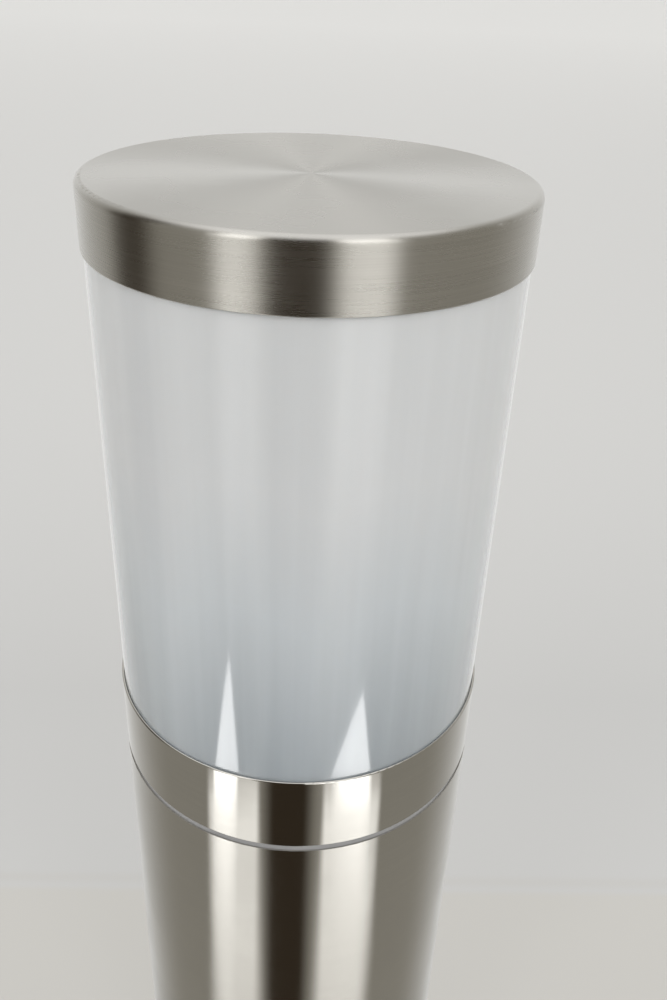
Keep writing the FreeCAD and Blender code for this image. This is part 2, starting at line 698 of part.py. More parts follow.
def build_lamp():
    """A screw-in LED lamp: opal dome, cone housing with a deck, and the LED board on the deck."""
    radius, inner = lamp_radius, lamp_radius - d.lamp_dome_wall
    brim = lamp_top - radius - d.lamp_dome_drop
    outer_brim, inner_brim = leg_of(radius, d.lamp_dome_drop), leg_of(inner, d.lamp_dome_drop)
    node("lamp_dome", turned("lamp_dome", [
        (inner_brim, brim, inner, -1), (outer_brim, brim), (0, lamp_top, radius, 1),
        (0, lamp_top - d.lamp_dome_wall)]))
    wall = d.lamp_housing_wall
    bore, neck = d.lamp_cap_radius - d.lamp_cap_wall, d.lamp_neck_radius
    neck_top = lamp_cap_top + d.lamp_neck_height
    node("lamp_housing", turned("lamp_housing", [
        (bore - wall, lamp_cap_top - d.lamp_spigot), (bore, lamp_cap_top - d.lamp_spigot),
        (bore, lamp_cap_top), (neck, lamp_cap_top), (neck, neck_top), (outer_brim, brim), (0, brim),
        (0, brim - wall), (outer_brim - wall * 1.5, brim - wall), (neck - wall, neck_top),
        (neck - wall, lamp_cap_top + wall), (bore - wall, lamp_cap_top + wall)]))
    board = inner_brim - d.led_board_room
    board_top = brim + d.led_board_thickness
    node("led_board", disc("led_board", board, brim, board_top))
    circle = board * d.led_circle_share
    step = 360 / LED_COUNT
    chips = [box(d.led_length, d.led_width, d.led_height, (circle, 0, board_top), step * number)
             for number in range(LED_COUNT)]
    node("led_chips", group(chips))


def build_lamp_foot():
    """The lamp's threaded cap, its insulator and its centre contact."""
    outside, bore = d.lamp_cap_radius, d.lamp_cap_radius - d.lamp_cap_wall
    blank = cylinder(outside, d.lamp_cap_height, (0, 0, lamp_cap_foot))
    hollow = cylinder(bore, d.lamp_cap_height * 2, (0, 0, lamp_cap_foot - d.lamp_cap_height / 2))
    bead = wound_bead(outside, lamp_thread_foot, d.thread_turns)
    node("lamp_screw_cap", cut(fuse(blank, bead), hollow))
    step = lamp_foot + d.lamp_contact_height
    button, rim = d.lamp_contact_radius, lamp_cap_foot + d.insulator_rim
    ease = d.lamp_contact_height / 2
    node("lamp_insulator", turned("lamp_insulator", [
        (0, step), (d.insulator_foot_radius, step), (bore, lamp_cap_foot), (bore, rim), (0, rim)]))
    node("lamp_contact", turned("lamp_contact", [
        (0, lamp_foot), (button - ease, lamp_foot), (button, lamp_foot + ease), (button, step), (0, step)]))


# ---------------------------------------------------------------- base
def bolt_holes(foot, top):
    depth = top - foot
    return fuse(*[cylinder(d.bolt_hole_radius, depth * 3, (bolt_circle_radius, 0, foot - depth), angle)
                  for angle in THIRDS])


def build_flange():
    """The drawn flange, the backing plate inside it and the gasket on the ground, all drilled in line."""
    sheet, edge, top = d.flange_sheet, d.flange_edge_radius, d.flange_height
    outside, inside, bore = flange_radius, flange_radius - d.flange_sheet, post_bore - d.flange_lap
    dish = turned("flange_dish", [
        (bore, plate_top), (outside - edge, plate_top), (inside, top - edge, edge - sheet, -1),
        (inside, 0), (outside, 0), (outside, top - edge), (outside - edge, top, edge, 1), (bore, top)])
    node("base_flange", cut(dish, bolt_holes(plate_top, top)))
    rim = inside - d.backing_gap
    plate = turned("plate_disc", [
        (d.grommet_neck_radius, plate_foot), (rim, plate_foot), (rim, top - edge),
        (outside - edge, plate_top), (d.grommet_neck_radius, plate_top)])
    hole = d.screw_radius + d.thread_gap
    fixings = [cylinder(hole, d.backing_thickness * 3, (x, y, plate_foot - d.backing_thickness))
               for x, y in foot_screw_places()]
    node("backing_plate", cut(plate, bolt_holes(plate_foot, plate_top), fuse(*fixings)))
    gasket = ring("gasket_disc", rim, d.ground_gasket_bore, 0, plate_foot)
    node("ground_gasket", cut(gasket, bolt_holes(Size(0), plate_foot)))


def foot_screw_places():
    y = terminal_back + d.terminal_sheet + d.terminal_foot / 2
    return [(d.foot_screw_x * side, y) for side in SIDES]


def build_grommet():
    """The rubber grommet that the supply cable comes up through, with a groove round the plate's edge."""
    neck, lip, bore = d.grommet_neck_radius, d.grommet_neck_radius + d.grommet_lip, d.cable_radius
    low, high = plate_foot - d.grommet_lip_height, plate_top + d.grommet_lip_height
    node("cable_grommet", turned("cable_grommet", [
        (bore, low), (lip, low), (lip, plate_foot), (neck, plate_foot), (neck, plate_top),
        (lip, plate_top), (lip, high), (bore, high)]))


# ---------------------------------------------------------------- terminals, clamp, earth and leads
def build_terminal_bracket():
    """The angle bracket that stands on the backing plate, drilled for everything screwed to it."""
    sheet, front = d.terminal_sheet, terminal_back
    leg = box(d.terminal_width, sheet, d.terminal_height, (0, front + sheet / 2, plate_top))
    foot = box(d.terminal_width, sheet + d.terminal_foot, sheet,
               (0, front + (sheet + d.terminal_foot) / 2, plate_top))
    hole = d.screw_radius + d.thread_gap
    holes = [hole_along_y(hole, sheet * 4, (x, front, z)) for x, z in leg_screw_places()]
    holes += [cylinder(hole, sheet * 3, (x, y, plate_top - sheet)) for x, y in foot_screw_places()]
    node("terminal_bracket", cut(fuse(leg, foot), fuse(*holes)))
    screws = [place(screw(sheet + d.backing_thickness), (x, y, plate_top + sheet))
              for x, y in foot_screw_places()]
    node("bracket_foot_screws", group(screws))


def leg_screw_places():
    """X and Z of the two block screws, the two clamp screws and the earth screw."""
    clamp_x = d.cable_radius + d.clamp_wall + d.clamp_ear / 2
    clamp_z = plate_top + d.clamp_level + d.clamp_height / 2
    places = [(d.pole_spacing / 2 * side, block_middle) for side in SIDES]
    places += [(clamp_x * side, clamp_z) for side in SIDES]
    return places + [(Size(0), plate_top + d.earth_level)]


def build_terminal_block():
    """A three-pole strip: the moulding, its brass tubes, their screws and the two that fix the strip."""
    depth = d.block_depth
    front = terminal_back - depth
    body = box(d.block_width, depth, d.block_height, (0, pole_y, block_foot))
    fixings = leg_screw_places()[:2]
    poles = [d.pole_spacing * number for number in (-1, 0, 1)]
    hole = d.screw_radius + d.thread_gap
    drills = [hole_along_y(hole, depth * 3, (x, pole_y, z)) for x, z in fixings]
    tubes, screws = [], []
    tube_foot = block_middle - d.pole_length / 2
    reach = pole_y - d.lead_radius - d.thread_gap - front
    for x in poles:
        drills.append(cylinder(d.pole_radius, d.block_height * 3, (x, pole_y, block_foot - d.block_height)))
        levels = [block_middle + d.pole_screw_offset * side for side in SIDES]
        entries = []
        for z in levels:
            entries.append(hole_along_y(d.pole_screw_radius, depth, (x, front, z)))
            screws.append(facing_front(grub(d.pole_screw_radius - d.thread_gap, reach, -1), (x, front, z)))
        drills += entries
        tube = cylinder(d.pole_radius, d.pole_length, (x, pole_y, tube_foot))
        bore = cylinder(d.pole_bore, d.pole_length * 3, (x, pole_y, tube_foot - d.pole_length))
        tubes.append(cut(tube, bore, fuse(*entries)))
    node("terminal_block", cut(body, fuse(*drills)))
    node("block_poles", group(tubes))
    node("pole_screws", group(screws))
    length = depth + d.terminal_sheet + d.screw_tail
    node("block_screws", group([facing_front(screw(length), (x, front, z)) for x, z in fixings]))


def build_clamp():
    """The saddle that holds the supply cable against the bracket, and its two screws."""
    back, bore, wall, ear = terminal_back, d.cable_radius, d.clamp_wall, d.clamp_ear_thickness
    outer = bore + wall
    end = outer + d.clamp_ear
    middle = back - bore

    def draw(sketch):
        draw_outline(sketch, [
            (-end, back), (-bore, back), (-bore, middle), (0, middle - bore, bore, 1),
            (bore, middle, bore, 1), (bore, back), (end, back), (end, back - ear), (outer, back - ear),
            (outer, middle), (0, middle - outer, outer, -1), (-outer, middle, outer, -1),
            (-outer, back - ear), (-end, back - ear)])

    saddle = padded("clamp_saddle", "XY_Plane", draw, d.clamp_height, level=plate_top + d.clamp_level)
    places = leg_screw_places()[2:4]
    hole = d.screw_radius + d.thread_gap
    drills = [hole_along_y(hole, ear * 3, (x, back, z)) for x, z in places]
    node("cable_clamp", cut(saddle, fuse(*drills)))
    length = ear + d.terminal_sheet + d.screw_tail
    node("clamp_screws", group([facing_front(screw(length), (x, back - ear, z)) for x, z in places]))


def build_earth():
    """The crimped ring on the earth lead and the screw that holds it to the bracket."""
    x, z = leg_screw_places()[4]
    sheet, front = d.ring_sheet, terminal_back
    eye = place(tip(primitive("Cylinder", Radius=d.ring_radius, Height=sheet), (1, 0, 0), 90), (x, front, z))
    tongue = box(d.barrel_radius * 2, sheet, z - tongue_foot(), (x, front - sheet / 2, tongue_foot()))
    barrel = cylinder(d.barrel_radius, d.barrel_length, (x, front - d.barrel_radius, barrel_foot()))
    bore = cylinder(d.lead_radius, d.barrel_length * 2,
                    (x, front - d.barrel_radius, barrel_foot() - d.barrel_length / 2))
    hole = hole_along_y(d.screw_radius + d.thread_gap, sheet * 4, (x, front, z))
    node("earth_ring", cut(fuse(eye, tongue, cut(barrel, bore)), hole))
    node("earth_screw", facing_front(screw(sheet + d.terminal_sheet + d.screw_tail), (x, front - sheet, z)))


def barrel_foot():
    return plate_top + d.earth_level - d.ring_radius - d.barrel_length


def tongue_foot():
    return barrel_foot() + d.barrel_length / 2


def lead(label, places):
    """An insulated lead along straight runs and tangent arcs, given the points of its route."""
    points = [Vector(*map(float, point)) for point in places]
    edges, start, radii = [], points[0], []
    for before, corner, after in zip(points, points[1:], points[2:]):
        back, on = before - corner, after - corner
        half_turn = (math.pi - back.getAngle(on)) / 2
        reach = 0.45 * min(back.Length, on.Length)
        radii.append(reach / math.tan(half_turn))
        first = corner + back.normalize() * reach
        last = corner + on.normalize() * reach
        centre = corner + (back + on).normalize() * (radii[-1] / math.cos(half_turn))
        middle = centre + (corner - centre).normalize() * radii[-1]
        edges += [Part.makeLine(start, first), Part.Arc(first, middle, last).toShape()]
        start = last
    edges.append(Part.makeLine(start, points[-1]))
    length = sum(edge.Length for edge in edges)
    radius = float(d.lead_radius)
    section = Part.Wire(Part.makeCircle(radius, points[0], points[1] - points[0]))
    thing = doc.addObject("Part::Feature", label)
    thing.Shape = Part.Wire(edges).makePipeShell([section], True, False)
    print(f"{label}: arc radii {[round(value, 1) for value in radii]} mm, volume over section times length "
          f"{thing.Shape.Volume / (math.pi * radius ** 2 * length):.4f}")
    node(label, thing)


def supply_route(side):
    """The live or neutral lead's way: out of its pole, up the post, through the nipple to its terminal."""
    climb = nipple_foot - block_top
    end = holder_break - d.terminal_drop
    pole_x, inside = d.pole_spacing * side, d.lead_spread * side
    route = [(pole_x, pole_y, block_middle), (pole_x, pole_y, block_top + climb * 0.1)]
    route += [(x * side, y, block_top + climb * share) for x, y, share in LEAD_BOW]
    route += [(inside, 0, nipple_foot), (inside, 0, nipple_top - d.nipple_entry)]
    return route + [(d.terminal_x * side, 0, end - d.lead_straight), (d.terminal_x * side, 0, end)]


def build_leads():
    """Live and neutral run up to the lamp holder, and the earth lead runs to its ring."""
    lead("live_lead", supply_route(-1))
    lead("neutral_lead", supply_route(1))
    barrel_y = terminal_back - d.barrel_radius
    lead("earth_lead", [
        (0, pole_y, block_middle), (0, pole_y, block_top + d.earth_lead_straight),
        (0, barrel_y, barrel_foot() - d.lead_straight), (0, barrel_y, tongue_foot())])


# ---------------------------------------------------------------- build, check and export
def check(label, thing):
    """Stops the run where a piece failed to build."""
    states = set(thing.State)
    for part in thing.OutListRecursive:
        states |= set(part.State)
    if states & {"Invalid", "Error"}:
        raise RuntimeError(f"{label} has a feature that failed: {sorted(states)}")
    if thing.Shape.isNull() or not thing.Shape.isValid() or not thing.Shape.Solids:
        raise RuntimeError(f"{label} has no valid solid")


def export(label, thing):
    thing.Shape.exportStep(f"parts/{label}.step")
    box_of = thing.Shape.BoundBox
    print(f"{label:20s} {len(thing.Shape.Solids)} solids, {thing.Shape.Volume:10.1f} mm3, "
          f"z {box_of.ZMin:.1f} to {box_of.ZMax:.1f}")


for build in (build_cap, build_cap_fixing, build_diffuser, build_collar, build_bayonet_ring,
              build_seam_seal, build_post, build_spigot, build_post_tabs, build_web_screws,
              build_bracket, build_holder, build_shell, build_contacts, build_nipple, build_lamp,
              build_lamp_foot, build_flange, build_grommet, build_terminal_bracket,
              build_terminal_block, build_clamp, build_earth, build_leads):
    build()
doc.recompute()
for name, thing in nodes.items():
    check(name, thing)
os.makedirs("parts", exist_ok=True)
for name, thing in nodes.items():
    export(name, thing)
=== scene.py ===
import bpy
import json
import math
from mathutils import Matrix, Vector


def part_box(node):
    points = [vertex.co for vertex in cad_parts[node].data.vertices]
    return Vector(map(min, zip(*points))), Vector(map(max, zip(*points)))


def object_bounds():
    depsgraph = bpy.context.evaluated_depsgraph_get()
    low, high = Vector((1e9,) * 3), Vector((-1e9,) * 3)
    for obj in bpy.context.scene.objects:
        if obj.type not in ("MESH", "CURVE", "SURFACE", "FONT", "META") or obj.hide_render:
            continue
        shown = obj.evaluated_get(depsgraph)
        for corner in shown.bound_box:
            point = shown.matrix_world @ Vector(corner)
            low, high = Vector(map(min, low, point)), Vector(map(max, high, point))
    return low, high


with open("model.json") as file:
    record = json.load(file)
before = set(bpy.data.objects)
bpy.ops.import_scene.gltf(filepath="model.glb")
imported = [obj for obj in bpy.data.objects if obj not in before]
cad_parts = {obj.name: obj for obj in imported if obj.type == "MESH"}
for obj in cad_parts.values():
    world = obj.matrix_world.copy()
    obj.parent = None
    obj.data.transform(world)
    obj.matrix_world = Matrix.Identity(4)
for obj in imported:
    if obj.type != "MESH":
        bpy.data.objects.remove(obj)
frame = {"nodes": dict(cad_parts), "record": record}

CAD_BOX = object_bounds()
NODES = frame["nodes"]
TOP = CAD_BOX[1][2]

# ---------------------------------------------------------------- node helpers


class Graph:
    """A node tree, with short calls for the nodes that repeat."""

    def __init__(self, tree):
        self.tree = tree
        self.tree.nodes.clear()

    def add(self, kind, **settings):
        node = self.tree.nodes.new(kind)
        for name, value in settings.items():
            setattr(node, name, value)
        return node

    def put(self, socket, value):
        if isinstance(value, bpy.types.NodeSocket):
            self.tree.links.new(value, socket)
        else:
            socket.default_value = value

    def math(self, operation, a, b=0.0, c=0.0):
        node = self.add("ShaderNodeMath", operation=operation)
        for socket, value in zip(node.inputs, (a, b, c)):
            self.put(socket, value)
        return node.outputs[0]

    def vector(self, operation, a, b=(0.0, 0.0, 0.0), scale=1.0):
        node = self.add("ShaderNodeVectorMath", operation=operation)
        self.put(node.inputs[0], a)
        if operation in ("MULTIPLY", "ADD", "SUBTRACT"):
            self.put(node.inputs[1], b)
        if operation == "SCALE":
            self.put(node.inputs["Scale"], scale)
        return node.outputs["Value" if operation == "LENGTH" else "Vector"]

    def split(self, vector):
        node = self.add("ShaderNodeSeparateXYZ")
        self.put(node.inputs[0], vector)
        return node.outputs

    def join(self, x, y, z):
        node = self.add("ShaderNodeCombineXYZ")
        for socket, value in zip(node.inputs, (x, y, z)):
            self.put(socket, value)
        return node.outputs[0]

    def noise(self, vector, scale=1.0, detail=2.0, roughness=0.5):
        node = self.add("ShaderNodeTexNoise")
        self.put(node.inputs["Vector"], vector)
        node.inputs["Scale"].default_value = scale
        node.inputs["Detail"].default_value = detail
        node.inputs["Roughness"].default_value = roughness
        return node.outputs["Fac"]

    def span(self, value, low, high, to_low=0.0, to_high=1.0, smooth=True):
        node = self.add("ShaderNodeMapRange", interpolation_type="SMOOTHSTEP" if smooth else "LINEAR")
        self.put(node.inputs["Value"], value)
        for name, number in (("From Min", low), ("From Max", high), ("To Min", to_low), ("To Max", to_high)):
            self.put(node.inputs[name], number)
        return node.outputs[0]

    def ramp(self, value, stops):
        node = self.add("ShaderNodeValToRGB")
        self.put(node.inputs[0], value)
        ramp = node.color_ramp
        while len(ramp.elements) < len(stops):
            ramp.elements.new(0.5)
        for element, (position, colour) in zip(ramp.elements, stops):
            element.position = position
            element.color = (*colour, 1.0)
        return node.outputs[0]

    def mix(self, factor, a, b, blend="MIX"):
        node = self.add("ShaderNodeMix", data_type="RGBA", blend_type=blend)
        self.put(node.inputs["Factor"], factor)
        for socket, value in ((node.inputs[6], a), (node.inputs[7], b)):
            self.put(socket, (*value, 1.0) if isinstance(value, tuple) else value)
        return node.outputs[2]

    def bump(self, height, strength, distance):
        node = self.add("ShaderNodeBump")
        node.inputs["Strength"].default_value = strength
        node.inputs["Distance"].default_value = distance
        self.put(node.inputs["Height"], height)
        return node.outputs[0]


def material(name, colour, roughness, metallic=0.0, **sockets):
    """A Principled material with its constants on its own sockets. Returns it, its graph and its shader."""
    mat = bpy.data.materials.new(name)
    mat.use_nodes = True
    graph = Graph(mat.node_tree)
    shader = graph.add("ShaderNodeBsdfPrincipled")
    output = graph.add("ShaderNodeOutputMaterial")
    graph.tree.links.new(shader.outputs[0], output.inputs[0])
    shader.inputs["Base Color"].default_value = (*colour, 1.0)
    shader.inputs["Roughness"].default_value = roughness
    shader.inputs["Metallic"].default_value = metallic
    for label, value in sockets.items():
        shader.inputs[label.replace("_", " ")].default_value = value
    return mat, graph, shader


def place_in(graph):
    """Where a point is in the part's own frame, in metres."""
    return graph.add("ShaderNodeTexCoord").outputs["Object"]


# ---------------------------------------------------------------- materials
# How deep a hairline scratch and a fine grain go, in metres.
HAIR_DEPTH, FINE_DEPTH = 0.00003, 0.00004
STEEL, SPECK_TONE = (0.60, 0.585, 0.55), (0.85, 0.84, 0.80)
LINES_ACROSS, BREAKS_ROUND = 5600.0, 1.8


def brushed_round(name, roughness, strength, rim=None, contrast=0.09, specks=0.35):
    """Satin steel brushed round the Z axis: fine broken lines, with the gloss drawn out across them.

    rim is the radius out to which a flat top is turned too. On the cap the lines fade out in the last
    millimetre below that top.
    """
    mat, g, shader = material(name, STEEL, roughness, 1.0, Anisotropic=0.95, Anisotropic_Rotation=0.25)
    tangent = g.add("ShaderNodeTangent", direction_type="RADIAL", axis="Z")
    g.put(shader.inputs["Tangent"], tangent.outputs[0])
    here = place_in(g)
    x, y, z = g.split(here)
    flat = g.join(x, y, 0.0)
    radius = g.vector("LENGTH", flat)
    wx, wy, _ = g.split(g.vector("SCALE", g.vector("NORMALIZE", flat), scale=BREAKS_ROUND))
    across = g.math("ADD", g.math("MINIMUM", radius, rim), z) if rim else z
    lines_at = g.join(wx, wy, g.math("MULTIPLY", across, LINES_ACROSS))
    fine = g.noise(lines_at, 1.0, 1.0, 0.4)
    broad = g.noise(g.vector("MULTIPLY", lines_at, (0.5, 0.5, 0.2)), 1.0, 2.0, 0.5)
    lines = g.math("ADD", g.math("MULTIPLY", fine, 0.75), g.math("MULTIPLY", broad, 0.25))
    if rim:
        quiet = g.span(z, TOP - 0.0012, TOP - 0.0002, 1.0, 0.0)
        lines = g.math("MULTIPLY_ADD", g.math("SUBTRACT", lines, 0.5), quiet, 0.5)
    cloud = g.noise(here, 55.0, 3.0, 0.55)
    speck = g.span(g.noise(here, 2400.0, 1.0, 0.4), 0.70, 0.78)
    shade = g.span(lines, 0.3, 0.7, 1.0 - contrast, 1.0 + contrast, smooth=False)
    tinted = g.mix(1.0, STEEL, g.join(shade, shade, shade), "MULTIPLY")
    smudged = g.mix(g.span(cloud, 0.35, 0.7, 0.0, 0.16), tinted, tuple(0.86 * c for c in STEEL))
    g.put(shader.inputs["Base Color"], g.mix(g.math("MULTIPLY", speck, specks), smudged, SPECK_TONE))
    rough = g.math("ADD", g.span(cloud, 0.3, 0.7, roughness - 0.015, roughness + 0.02),
                   g.span(lines, 0.3, 0.7, -0.3 * contrast, 0.3 * contrast, smooth=False))
    g.put(shader.inputs["Roughness"], rough)
    g.put(shader.inputs["Normal"], g.bump(lines, strength, HAIR_DEPTH))
    return mat


# The diffuser's colour from its foot (0) to its top (1): painted shade, darker and greyer towards the foot.
OPAL_SHADE_TONES = [
    (0.0, (0.335, 0.373, 0.407)),
    (0.18, (0.417, 0.456, 0.495)),
    (0.42, (0.548, 0.592, 0.635)),
    (0.68, (0.63, 0.655, 0.684)),
    (1.0, (0.638, 0.662, 0.687)),
]
OPAL_CLOUD = (0.55, 0.60, 0.63)


def opal_plastic(name):
    """The opal diffuser: glossy and milky, with painted light-and-shade streaks, and painted shade that
    greys it towards its foot.
    """
    low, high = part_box("diffuser")
    mat, g, shader = material(name, (0.80, 0.83, 0.86), 0.09, IOR=1.55, Subsurface_Weight=0.35,
                              Subsurface_Scale=0.012, Coat_Weight=1.0, Coat_Roughness=0.03)
    shader.inputs["Subsurface Radius"].default_value = (0.8, 0.9, 1.0)
    here = place_in(g)
    z = g.split(here)[2]
    streak = g.noise(g.vector("MULTIPLY", here, (170.0, 170.0, 6.0)), 1.0, 3.0, 0.55)
    broad = g.noise(g.vector("MULTIPLY", here, (60.0, 60.0, 4.0)), 1.0, 2.0, 0.5)
    cloud = g.noise(here, 22.0, 2.0, 0.5)
    # Painted shade: the colour darkens from the top down to the foot, along a wavy line.
    drift = g.math("ADD", g.math("MULTIPLY", g.math("SUBTRACT", broad, 0.5), 0.030), z)
    height = g.span(drift, low[2] + 0.012, high[2] - 0.008, smooth=False)
    tone = g.ramp(height, OPAL_SHADE_TONES)
    # Painted light and shade in vertical streaks, stronger towards the foot.
    streak_light_and_shade = g.math("ADD", g.math("SUBTRACT", streak, 0.5), g.math("SUBTRACT", broad, 0.5))
    swing = g.math("MULTIPLY", streak_light_and_shade, g.span(height, 0.0, 0.8, 0.36, 0.13))
    shade = g.math("ADD", swing, 1.0)
    lined = g.mix(1.0, tone, g.join(shade, shade, shade), "MULTIPLY")
    g.put(shader.inputs["Base Color"], g.mix(g.span(cloud, 0.45, 0.75, 0.0, 0.10), lined, OPAL_CLOUD))
    g.put(shader.inputs["Normal"], g.bump(g.math("ADD", streak, cloud), 0.04, 0.0002))
    return mat


def rubber(name, colour, roughness):
    """Rubber, with a fine grain and a little dust on it."""
    mat, g, shader = material(name, colour, roughness, Sheen_Weight=0.15, Sheen_Roughness=0.5)
    here = place_in(g)
    grain = g.noise(here, 900.0, 4.0, 0.6)
    dust = g.noise(here, 60.0, 3.0, 0.6)
    pale = tuple(min(1.0, c * 1.3 + 0.03) for c in colour)
    g.put(shader.inputs["Base Color"], g.mix(g.span(dust, 0.45, 0.75, 0.0, 0.45), colour, pale))
    g.put(shader.inputs["Roughness"], g.span(dust, 0.3, 0.7, roughness - 0.08, roughness + 0.08))
    g.put(shader.inputs["Normal"], g.bump(grain, 0.25, 0.0001))
    return mat


def moulded(name, colour, roughness, **sockets):
    """Moulded plastic: an even tone with faint flow marks and a fine spark-eroded grain."""
    mat, g, shader = material(name, colour, roughness, **sockets)
    here = place_in(g)
    texture = g.noise(here, 1400.0, 2.0, 0.5)
    flow = g.noise(g.vector("MULTIPLY", here, (45.0, 45.0, 20.0)), 1.0, 4.0, 0.6)
    worn = tuple(min(1.0, c * 1.12 + 0.012) for c in colour)
    g.put(shader.inputs["Base Color"], g.mix(g.span(flow, 0.4, 0.72, 0.0, 0.5), colour, worn))
    g.put(shader.inputs["Roughness"], g.span(flow, 0.3, 0.7, roughness - 0.05, roughness + 0.07))
    g.put(shader.inputs["Normal"], g.bump(texture, 0.2, FINE_DEPTH))
    return mat


def plated(name, colour, roughness, spangle):
    """Plated or bright metal, with soft plating cloud and fine handling marks."""
    mat, g, shader = material(name, colour, roughness, 1.0)
    here = place_in(g)
    cells = g.add("ShaderNodeTexVoronoi", feature="F1")
    g.put(cells.inputs["Vector"], here)
    cells.inputs["Scale"].default_value = spangle
    tone = g.split(cells.outputs["Color"])[0]
    cloud = g.noise(here, 140.0, 4.0, 0.6)
    scratch = g.noise(g.vector("MULTIPLY", here, (2600.0, 500.0, 900.0)), 1.0, 2.0, 0.6)
    dull = tuple(c * 0.78 for c in colour)
    mixed = g.math("ADD", g.math("MULTIPLY", tone, 0.4), g.math("MULTIPLY", cloud, 0.6))
    g.put(shader.inputs["Base Color"], g.mix(g.span(mixed, 0.3, 0.75, 0.0, 0.8), colour, dull))
    g.put(shader.inputs["Roughness"], g.span(mixed, 0.25, 0.75, roughness - 0.05, roughness + 0.12))
    g.put(shader.inputs["Normal"], g.bump(scratch, 0.08, HAIR_DEPTH))
    return mat


GLAZE, WARM_GLAZE, FLECK = (0.88, 0.865, 0.82), (0.84, 0.81, 0.74), (0.45, 0.40, 0.33)


def porcelain(name):
    """Glazed porcelain, with a slow wave in the glaze and a few dark flecks."""
    mat, g, shader = material(name, GLAZE, 0.12, Coat_Weight=0.6, Coat_Roughness=0.04,
                              Subsurface_Weight=0.08, Subsurface_Scale=0.002)
    here = place_in(g)
    wave = g.noise(here, 120.0, 3.0, 0.5)
    fleck = g.span(g.noise(here, 1100.0, 1.0, 0.4), 0.72, 0.80)
    warm = g.mix(g.span(wave, 0.35, 0.7, 0.0, 0.5), GLAZE, WARM_GLAZE)
    g.put(shader.inputs["Base Color"], g.mix(g.math("MULTIPLY", fleck, 0.5), warm, FLECK))
    g.put(shader.inputs["Normal"], g.bump(wave, 0.15, 0.0003))
    return mat


def frosted(name, colour):
    """The frosted dome of the lamp."""
    mat, g, shader = material(name, colour, 0.42, Subsurface_Weight=0.5, Subsurface_Scale=0.006, IOR=1.49)
    shader.inputs["Subsurface Radius"].default_value = (1.0, 1.0, 1.0)
    here = place_in(g)
    frost = g.noise(here, 1800.0, 2.0, 0.5)
    cloud = g.noise(here, 50.0, 3.0, 0.5)
    darker = tuple(0.93 * c for c in colour)
    g.put(shader.inputs["Base Color"], g.mix(g.span(cloud, 0.4, 0.7, 0.0, 0.4), colour, darker))
    g.put(shader.inputs["Normal"], g.bump(frost, 0.2, FINE_DEPTH))
    return mat


SOLDER_MASK, LAND = (0.84, 0.85, 0.84), (0.74, 0.76, 0.73)
LANDS_PER_METRE = 420.0


def circuit_board(name):
    """White solder mask with copper lands showing as raised lines, in rings under the chips."""
    mat, g, shader = material(name, SOLDER_MASK, 0.35, Coat_Weight=0.2, Coat_Roughness=0.2)
    here = place_in(g)
    x, y, _ = g.split(here)
    radius = g.vector("LENGTH", g.join(x, y, 0.0))
    tracks = g.math("PINGPONG", g.math("MULTIPLY", radius, LANDS_PER_METRE), 1.0)
    land = g.span(tracks, 0.42, 0.55)
    g.put(shader.inputs["Base Color"], g.mix(land, SOLDER_MASK, LAND))
    g.put(shader.inputs["Normal"], g.bump(land, 0.35, 0.00006))
    return mat


PHOSPHOR, DARK_PHOSPHOR = (0.90, 0.72, 0.14), (0.80, 0.56, 0.07)


def phosphor(name):
    """The yellow phosphor of the light-emitting chips, under clear resin."""
    mat, g, shader = material(name, PHOSPHOR, 0.5, Coat_Weight=0.5, Coat_Roughness=0.15)
    here = place_in(g)
    speck = g.noise(here, 5200.0, 2.0, 0.6)
    g.put(shader.inputs["Base Color"], g.mix(g.span(speck, 0.35, 0.7), PHOSPHOR, DARK_PHOSPHOR))
    g.put(shader.inputs["Normal"], g.bump(speck, 0.2, HAIR_DEPTH))
    return mat


STRIPE_HALF = 0.00042


def insulation(name, colour, stripe=None):
    """The sheath of a lead, with the second colour of an earth lead along one side."""
    mat, g, shader = material(name, colour, 0.38, Coat_Weight=0.15, Coat_Roughness=0.25)
    here = place_in(g)
    drawn = g.noise(g.vector("MULTIPLY", here, (2600.0, 2600.0, 120.0)), 1.0, 2.0, 0.5)
    shade = tuple(0.82 * c for c in colour)
    tone = g.mix(g.span(drawn, 0.35, 0.7), colour, shade)
    if stripe:
        aside = g.math("ABSOLUTE", g.split(here)[0])
        tone = g.mix(g.span(aside, STRIPE_HALF, STRIPE_HALF + 0.00006), stripe, tone)
    g.put(shader.inputs["Base Color"], tone)
    g.put(shader.inputs["Normal"], g.bump(drawn, 0.15, FINE_DEPTH))
    return mat


